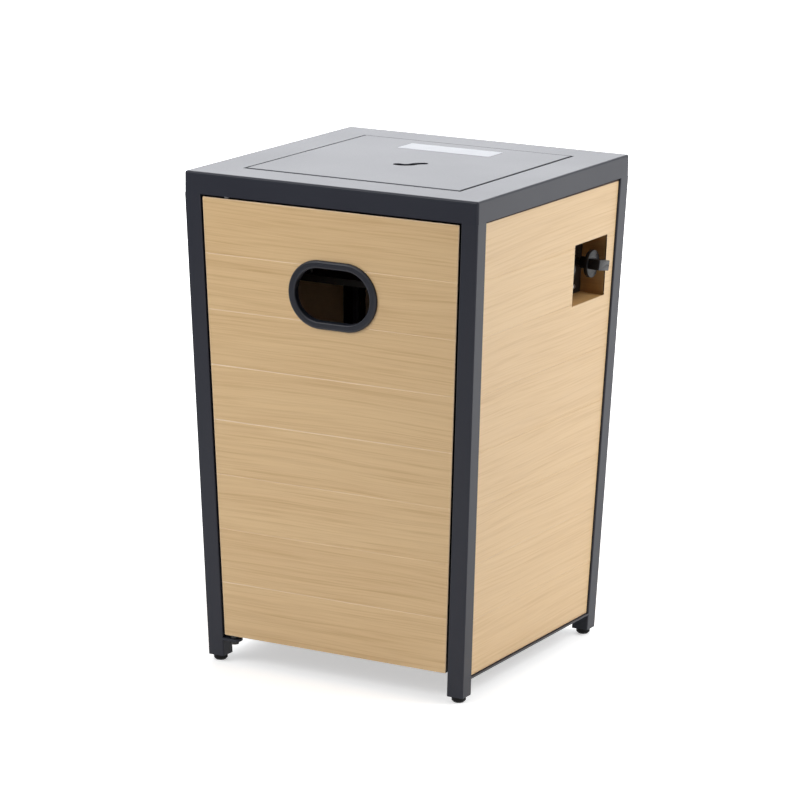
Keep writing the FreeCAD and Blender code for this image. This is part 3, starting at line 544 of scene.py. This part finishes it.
# the upper pivot pin in near-white: painted glint
materials["upper_pivot_pin"] = makeFinish("bright_pin", brightPin)
materials["valve_body"] = makeMaterial("valve_brass", valveRecipe, Metallic=1)
for node, panel in panels.items():
    materials[node] = makeMaterial("oak_" + node, oakRecipe(panel),
                                   Specular_IOR_Level=panel.get("specular", oakPrint["specular"]))
for node, piece in nodes.items():
    piece.data.materials.clear()
    piece.data.materials.append(materials.get(node) or materials[slotOf[node]])
print("finishes made,", len(materials))


# Tools of the bench: each new piece starts from a primitive and is shaped in edit mode
nearby = 0.1 * mm              # how near to a level an edge counts as on it


def clearSelection():
    if bpy.context.object and bpy.context.object.mode != "OBJECT":
        bpy.ops.object.mode_set(mode="OBJECT")
    bpy.ops.object.select_all(action="DESELECT")


def pick(piece):
    clearSelection()
    piece.select_set(True)
    bpy.context.view_layer.objects.active = piece


def startPiece(name, primitive, **sizes):
    clearSelection()
    primitive(**sizes)
    piece = bpy.context.object
    piece.name = name
    piece.data.name = name
    bpy.ops.object.transform_apply(location=True, rotation=True, scale=True)
    return piece


def startRod(name, sides, radius, low, high, x=0, y=0):
    return startPiece(name, bpy.ops.mesh.primitive_cylinder_add, vertices=sides, radius=radius,
                      depth=high - low, location=(x, y, (low + high) / 2))


def startBlock(name, sides, centre, turn):
    return startPiece(name, bpy.ops.mesh.primitive_cube_add, size=1, location=centre,
                      rotation=(0, 0, turn), scale=sides)


def choose(piece, kind, wanted):
    bpy.ops.object.mode_set(mode="EDIT")
    bpy.ops.mesh.select_mode(type=kind)
    bpy.ops.mesh.select_all(action="DESELECT")
    bpy.ops.object.mode_set(mode="OBJECT")
    points = piece.data.vertices
    if kind == "FACE":
        for face in piece.data.polygons:
            face.select = wanted(face.center, face.normal)
    else:
        for edge in piece.data.edges:
            edge.select = wanted(points[edge.vertices[0]].co, points[edge.vertices[1]].co)
    bpy.ops.object.mode_set(mode="EDIT")


def bevelEdges(piece, wanted, offset, steps):
    choose(piece, "EDGE", wanted)
    bpy.ops.mesh.bevel(offset=offset, segments=steps, affect="EDGES")


def topEdges(level):
    return lambda a, b: min(a.z, b.z) > level - nearby


def bottomEdges(level):
    return lambda a, b: max(a.z, b.z) < level + nearby


def joinTo(piece, *others):
    pick(piece)
    for other in others:
        other.select_set(True)
    bpy.ops.object.join()
    return piece


def combine(piece, tool, operation):
    pick(piece)
    modifier = piece.modifiers.new("combine", "BOOLEAN")
    modifier.operation = operation
    modifier.object = tool
    modifier.solver = "EXACT"
    bpy.ops.object.modifier_apply(modifier=modifier.name)
    bpy.data.objects.remove(tool)
    return piece


def smooth(piece, degrees=35):
    pick(piece)
    bpy.ops.object.shade_smooth_by_angle(angle=math.radians(degrees))


def placed(piece, matrix):
    pick(piece)
    piece.matrix_world = matrix
    bpy.ops.object.transform_apply(location=True, rotation=True, scale=True)


def settle(piece, material, body, *stoodFor):
    piece.data.materials.clear()
    piece.data.materials.append(material)
    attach(piece, body)
    if stoodFor:
        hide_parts(*stoodFor)


def addObject(name, data):
    item = bpy.data.objects.new(name, data)
    bpy.context.scene.collection.objects.link(item)
    return item


def copyOf(piece, name):
    return addObject(name, piece.data.copy())


def axesFrame(right, up, out, place):
    matrix = Matrix((right, up, out)).transposed().to_4x4()
    matrix.translation = place
    return matrix


# A frame on the leaning right-hand face: X to the right, Y up the face, Z outwards
def onRightFace(place):
    up = Vector((math.sin(lean), 0, math.cos(lean)))
    out = Vector((math.cos(lean), 0, -math.sin(lean)))
    return axesFrame(Vector((0, 1, 0)), up, out, place)


# Control knob: thin skirt and a square bar grip with a pointer groove
knobShape = {
    "skirtRadius": 17.4 * mm,
    "skirtSides": 128,
    "skirtBack": -13.5 * mm,
    "skirtFace": -8.7 * mm,
    "edge": 0.8 * mm,
    "edgeSteps": 3,
    "barLength": 29.0 * mm,
    "barThickness": 13.0 * mm,
    "barTip": 6.6 * mm,
    "barCorner": 1.2 * mm,
    "cornerSteps": 5,
    "barTurn": math.radians(-10),
    "hubRadius": 7.5 * mm,
    "hubSides": 48,
    "hubBack": -25.0 * mm,
    "grooveLength": 8.0 * mm,
    "grooveWidth": 1.3 * mm,
    "grooveDepth": 0.6 * mm,
}


def makeKnob():
    size = knobShape
    turn = size["barTurn"]
    middle = (size["skirtFace"] + size["skirtBack"]) / 2
    skirt = startRod("controlKnob", size["skirtSides"], size["skirtRadius"],
                     size["skirtBack"], size["skirtFace"])
    bevelEdges(skirt, topEdges(size["skirtFace"]), size["edge"], size["edgeSteps"])
    tall = size["barTip"] - middle
    barSides = (size["barLength"], size["barThickness"], tall)
    bar = startBlock("bar", barSides, (0, 0, middle + tall / 2), turn)
    bevelEdges(bar, lambda a, b: abs(a.z - b.z) > tall / 2, size["barCorner"], size["cornerSteps"])
    bevelEdges(bar, topEdges(size["barTip"]), size["edge"], size["edgeSteps"])
    hub = startRod("hub", size["hubSides"], size["hubRadius"], size["hubBack"], middle)
    reach = size["barLength"] / 2 - size["grooveLength"] / 2 - size["edge"]
    grooveSides = (size["grooveLength"], size["grooveWidth"], 2 * size["grooveDepth"])
    groovePlace = (reach * math.cos(turn), reach * math.sin(turn), size["barTip"])
    groove = startBlock("groove", grooveSides, groovePlace, turn)
    return combine(combine(combine(skirt, bar, "UNION"), hub, "UNION"), groove, "DIFFERENCE")


knob = makeKnob()
smooth(knob)
placed(knob, onRightFace(Vector(joints["knob_turn"]["pos_m"])))
settle(knob, materials["black_plastic"], "knob", "control_knob")
print("knob made")


# Pan-head screws with a cross recess, for the control plate and the bowl's rim
screwShape = {
    "headRadius": 3.2 * mm,
    "headSides": 40,
    "headHeight": 1.8 * mm,
    "headRound": 1.0 * mm,
    "roundSteps": 4,
    "crossLength": 3.4 * mm,
    "crossWidth": 0.75 * mm,
    "crossDepth": 1.1 * mm,
    "shankRadius": 1.5 * mm,
}
plateScrews = {
    "span": 48.8 * mm,
    "rise": 59.0 * mm,
    "plateHalf": 0.75 * mm,    # half the plate's thickness
    "shank": 7.0 * mm,
    "turns": (20, 65, 110, 40),
}
rimScrews = {
    "count": 4,
    "shank": 1.2 * mm,
    "firstTurn": 0.4,
    "nextTurn": 0.7,
}


def makeScrew(shankLength):
    size = screwShape
    screw = startRod("screw", size["headSides"], size["headRadius"], 0, size["headHeight"])
    bevelEdges(screw, topEdges(size["headHeight"]), size["headRound"], size["roundSteps"])
    choose(screw, "FACE", lambda centre, normal: normal.z < -0.9)
    bpy.ops.mesh.inset(thickness=size["headRadius"] - size["shankRadius"])
    bpy.ops.mesh.extrude_region_move(TRANSFORM_OT_translate={"value": (0, 0, -shankLength)})
    crossSides = (size["crossLength"], size["crossWidth"], 2 * size["crossDepth"])
    for turn in (0, math.pi / 2):
        cutter = startBlock("cutter", crossSides, (0, 0, size["headHeight"]), turn)
        combine(screw, cutter, "DIFFERENCE")
    smooth(screw)
    return screw


def platePlaces():
    low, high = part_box("control_plate")
    plateFace = onRightFace((low + high) / 2)
    plateFace.translation += plateFace.to_3x3().col[2] * plateScrews["plateHalf"]
    places = []
    for k, turn in enumerate(plateScrews["turns"]):
        x = plateScrews["span"] / 2 * (1 if k % 2 else -1)
        y = plateScrews["rise"] / 2 * (1 if k > 1 else -1)
        spot = Matrix.Translation((x, y, 0)) @ Matrix.Rotation(math.radians(turn), 4, "Z")
        places.append(plateFace @ spot)
    return places


def rimPlaces():
    low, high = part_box("bowl_screws")
    arm = Vector((high.x - screwShape["headRadius"], 0, high.z - screwShape["headHeight"]))
    places = []
    for k in range(rimScrews["count"]):
        spot = Matrix.Rotation(2 * math.pi * k / rimScrews["count"], 4, "Z") @ arm
        turn = rimScrews["firstTurn"] + rimScrews["nextTurn"] * k
        places.append(Matrix.Translation(spot) @ Matrix.Rotation(turn, 4, "Z"))
    return places


def makeScrewSet(name, shankLength, places):
    pattern = makeScrew(shankLength)
    screws = []
    for k, place in enumerate(places):
        twin = copyOf(pattern, name + str(k))
        placed(twin, place)
        screws.append(twin)
    bpy.data.objects.remove(pattern)
    screwSet = joinTo(*screws)
    screwSet.name = name
    return screwSet


plateSet = makeScrewSet("plateScrews", plateScrews["shank"], platePlaces())
settle(plateSet, materials["plated_steel"], "frame", "plate_screws")
rimSet = makeScrewSet("rimScrews", rimScrews["shank"], rimPlaces())
settle(rimSet, materials["plated_steel"], "frame", "bowl_screws")
print("screws made")


# Levelling feet with grip notches round the pad
footShape = {
    "padRadius": 8.7 * mm,
    "padSides": 72,
    "padTop": 7.2 * mm,
    "chamfer": 2.5 * mm,
    "topEdge": 0.4 * mm,
    "topSteps": 3,
    "notches": 14,
    "notchRadius": 0.9 * mm,
    "notchSides": 20,
    "notchReach": 9.2 * mm,
    "studRadius": 4.0 * mm,
    "studSides": 40,
}


def makeFoot(top):
    size = footShape
    padTop, reach = size["padTop"], size["notchReach"]
    foot = startRod("foot", size["padSides"], size["padRadius"], 0, padTop)
    bevelEdges(foot, bottomEdges(0), size["chamfer"], 1)
    bevelEdges(foot, topEdges(padTop), size["topEdge"], size["topSteps"])
    cutters = []
    for k in range(size["notches"]):
        turn = 2 * math.pi * k / size["notches"]
        cutter = startRod("cutter", size["notchSides"], size["notchRadius"], -padTop / 2, padTop * 3 / 2,
                          reach * math.cos(turn), reach * math.sin(turn))
        cutters.append(cutter)
    combine(foot, joinTo(*cutters), "DIFFERENCE")
    stud = startRod("stud", size["studSides"], size["studRadius"], padTop / 2, top)
    return combine(foot, stud, "UNION")


footMaterial = makeFinish("foot_rubber", footRubber)
pattern = makeFoot(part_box("foot_front_left")[1].z)
smooth(pattern)
for corner in ("front_left", "front_right", "back_right", "back_left"):
    low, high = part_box("foot_" + corner)
    twin = copyOf(pattern, "levellingFoot_" + corner)
    placed(twin, Matrix.Translation(((low.x + high.x) / 2, (low.y + high.y) / 2, low.z)))
    settle(twin, footMaterial, "foot_" + corner, "foot_" + corner)
bpy.data.objects.remove(pattern)
print("feet made")


# Lava rocks: the plain stones, rounded and pitted
stoneShape = {
    "weld": 0.05 * mm,
    "rounds": 4,
    "lumps": {"across": 12 * mm, "height": 8.0 * mm},
    "pits": {"across": 2.6 * mm, "height": 1.6 * mm},
    "midLevel": 0.42,
    "smoothAngle": 60,
}


def makeStones():
    size = stoneShape
    stones = copyOf(nodes["lava_rocks"], "lavaStones")
    pick(stones)
    bpy.ops.object.mode_set(mode="EDIT")
    bpy.ops.mesh.select_all(action="SELECT")
    bpy.ops.mesh.remove_doubles(threshold=size["weld"])
    bpy.ops.object.mode_set(mode="OBJECT")
    rounding = stones.modifiers.new("rounding", "SUBSURF")
    rounding.levels = size["rounds"]
    rounding.render_levels = size["rounds"]
    for name in ("lumps", "pits"):
        texture = bpy.data.textures.new(name, "CLOUDS")
        texture.noise_scale = size[name]["across"]
        texture.noise_depth = 2
        relief = stones.modifiers.new(name, "DISPLACE")
        relief.texture = texture
        relief.texture_coords = "LOCAL"
        relief.strength = size[name]["height"]
        relief.mid_level = size["midLevel"]
    for modifier in list(stones.modifiers):
        bpy.ops.object.modifier_apply(modifier=modifier.name)
    smooth(stones, size["smoothAngle"])
    return stones


stones = makeStones()
settle(stones, materials["lava"], "frame", "lava_rocks")
print("lava rocks made")


# Blank label on the lid, of white film
labelShape = {
    "left": -65 * mm,
    "right": 64 * mm,
    "front": 83 * mm,
    "back": 122 * mm,
    "corner": 2.0 * mm,
    "cornerSteps": 5,
    "lift": 0.02 * mm,
    "film": 0.12 * mm,
}


def makeLabel():
    size = labelShape
    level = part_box("lid")[1].z + size["lift"]
    centre = ((size["left"] + size["right"]) / 2, (size["front"] + size["back"]) / 2, level)
    spread = (size["right"] - size["left"], size["back"] - size["front"], 1)
    label = startPiece("blankLabel", bpy.ops.mesh.primitive_plane_add, size=1, location=centre)
    bpy.ops.object.mode_set(mode="EDIT")
    bpy.ops.mesh.select_all(action="SELECT")
    bpy.ops.transform.resize(value=spread, center_override=centre)
    bpy.ops.mesh.bevel(offset=size["corner"], segments=size["cornerSteps"], affect="VERTICES")
    bpy.ops.mesh.extrude_region_move(TRANSFORM_OT_translate={"value": (0, 0, size["film"])})
    bpy.ops.mesh.select_all(action="SELECT")
    bpy.ops.mesh.normals_make_consistent(inside=False)
    bpy.ops.object.mode_set(mode="OBJECT")
    return label


label = makeLabel()
settle(label, makeFinish("white_film", whiteFilm), "lid")
print("label made")


# Studio: a pale floor in white surroundings
studio = {
    "floorSize": 30.0,
    "floorColour": linear(240, 240, 240),
    "floorRoughness": 0.9,
    "floorSpecular": 0.1,
    "floorGlow": 0.52,         # lifts the floor to white near the table, for the camera and reflections
    "farGlow": 0.55,           # and this much more far from it
    "glowStart": 0.8,
    "glowRun": 2.0,
    "skyForLight": 0.40,
}


def backgroundRays(start):
    kinds = ("Is Camera Ray", "Is Glossy Ray", "Is Transmission Ray")
    camera, glossy, through = (start.add("LightPath", None, None, kind) for kind in kinds)
    return (camera + glossy + through).clamp()


def makeWorld():
    world = bpy.data.worlds.new("studio")
    bpy.context.scene.world = world
    world.use_nodes = True
    tree = world.node_tree
    background = tree.nodes["Background"]
    level = studio["skyForLight"] + backgroundRays(Wire(tree)) * (1 - studio["skyForLight"])
    tree.links.new(level.socket, background.inputs["Strength"])
    background.inputs["Color"].default_value = (1, 1, 1, 1)


def floorRecipe(place):
    far = place.add("VectorMath", {"operation": "LENGTH"}, {0: place}, "Value")
    far = ((far - studio["glowStart"]) / studio["glowRun"]).clamp()
    glow = (studio["floorGlow"] + far * studio["farGlow"]) * backgroundRays(place)
    return {"Emission Color": glow.colours((0, 0, 0), (1, 1, 1))}


def makeFloor():
    clearSelection()
    bpy.ops.mesh.primitive_plane_add(size=studio["floorSize"])
    floor = bpy.context.object
    floor.name = "studioFloor"
    paint = makeMaterial("pale_floor", floorRecipe, Base_Color=(*studio["floorColour"], 1),
                         Roughness=studio["floorRoughness"], Specular_IOR_Level=studio["floorSpecular"],
                         Emission_Strength=1)
    floor.data.materials.append(paint)


def turnTo(item, target, axis):
    item.rotation_mode = "QUATERNION"
    item.rotation_quaternion = (Vector(target) - item.location).to_track_quat(axis, "Y")


# Dark cards: one that only reflections see, and one that keeps soft light out of the control recess
cards = {
    "darkCard": {
        "place": (-0.95, -1.55, 0.20),
        "facing": (0, 0, 0.2),
        "wide": 2.4,
        "tall": 1.1,
        "tone": 0.03,
        "hidden": ("camera", "diffuse", "transmission", "shadow"),
    },
    "shadeCard": {
        "place": (1.05, -0.72, 0.9),
        "facing": (0.2, 0.13, 0.9),
        "wide": 2.6,
        "tall": 1.8,
        "tone": 0.02,
        "hidden": ("camera", "glossy", "transmission"),
    },
}
cardCloth = {"patches": 4, "roughness": 0.9, "specular": 0.0}


def clothRecipe(tone):
    def recipe(place):
        return {"Base Color": place.noise(cardCloth["patches"]).colours((tone,) * 3, (tone * 2,) * 3)}

    return recipe


def makeCards():
    for name, sheet in cards.items():
        clearSelection()
        bpy.ops.mesh.primitive_plane_add(size=1, location=sheet["place"])
        card = bpy.context.object
        card.name = name
        card.scale = (sheet["wide"], sheet["tall"], 1)
        turnTo(card, sheet["facing"], "Z")
        cloth = makeMaterial("cloth_" + name, clothRecipe(sheet["tone"]), Roughness=cardCloth["roughness"],
                             Specular_IOR_Level=cardCloth["specular"])
        card.data.materials.append(cloth)
        for kind in sheet["hidden"]:
            setattr(card, "visible_" + kind, False)


# Soft square lamps, all turned to the middle of the table
lampTarget = (0, 0, 0.35)
lamps = {
    "frontLamp": {"place": (-1.7, -2.4, 2.3), "size": 2.0, "watts": 23, "colour": (1, 1, 1)},
    "fillLamp": {"place": (-0.3, -0.95, 1.05), "size": 0.6, "watts": 2.5, "colour": (1, 1, 1)},
    "rightLamp": {"place": (3.0, 1.0, 3.0), "size": 2.6, "watts": 100, "colour": (1, 1, 1)},
    "sideLamp": {"place": (2.6, 3.8, 0.7), "size": 3.0, "watts": 12, "colour": (1, 1, 1)},
    "backLamp": {"place": (-1.6, 3.0, 2.0), "size": 3.0, "watts": 64, "colour": (0.94, 0.96, 1)},
    "topLamp": {"place": (0.2, 0.2, 4.2), "size": 3.0, "watts": 22, "colour": (1, 1, 1)},
}


def makeLamps():
    for name, lamp in lamps.items():
        data = bpy.data.lights.new(name, "AREA")
        data.shape = "SQUARE"
        data.size = lamp["size"]
        data.energy = lamp["watts"]
        data.color = lamp["colour"]
        item = addObject(name, data)
        item.location = lamp["place"]
        turnTo(item, lampTarget, "-Z")


# Camera as the photograph was taken: turned to the right, a little above, long lens
viewpoint = {
    "place": (2.197, -3.9934, 1.3878),
    "azimuth": 28.9344,
    "elevation": 13.2188,
    "roll": 0.7084,
    "lens": 169.89,
    "sensor": 36,
}


def makeCamera():
    turn, lift, roll = (math.radians(viewpoint[k]) for k in ("azimuth", "elevation", "roll"))
    back = Vector((math.sin(turn) * math.cos(lift), -math.cos(turn) * math.cos(lift), math.sin(lift)))
    right = Vector((math.cos(turn), math.sin(turn), 0))
    up = back.cross(right)
    rolledRight = right * math.cos(roll) + up * math.sin(roll)
    rolledUp = up * math.cos(roll) - right * math.sin(roll)
    data = bpy.data.cameras.new("camera")
    data.lens = viewpoint["lens"]
    data.sensor_width = viewpoint["sensor"]
    camera = addObject("camera", data)
    camera.matrix_world = axesFrame(rolledRight, rolledUp, back, viewpoint["place"])
    bpy.context.scene.camera = camera


makeWorld()
makeFloor()
makeCards()
makeLamps()
makeCamera()
bpy.context.scene.view_settings.view_transform = "Standard"
print("studio set")
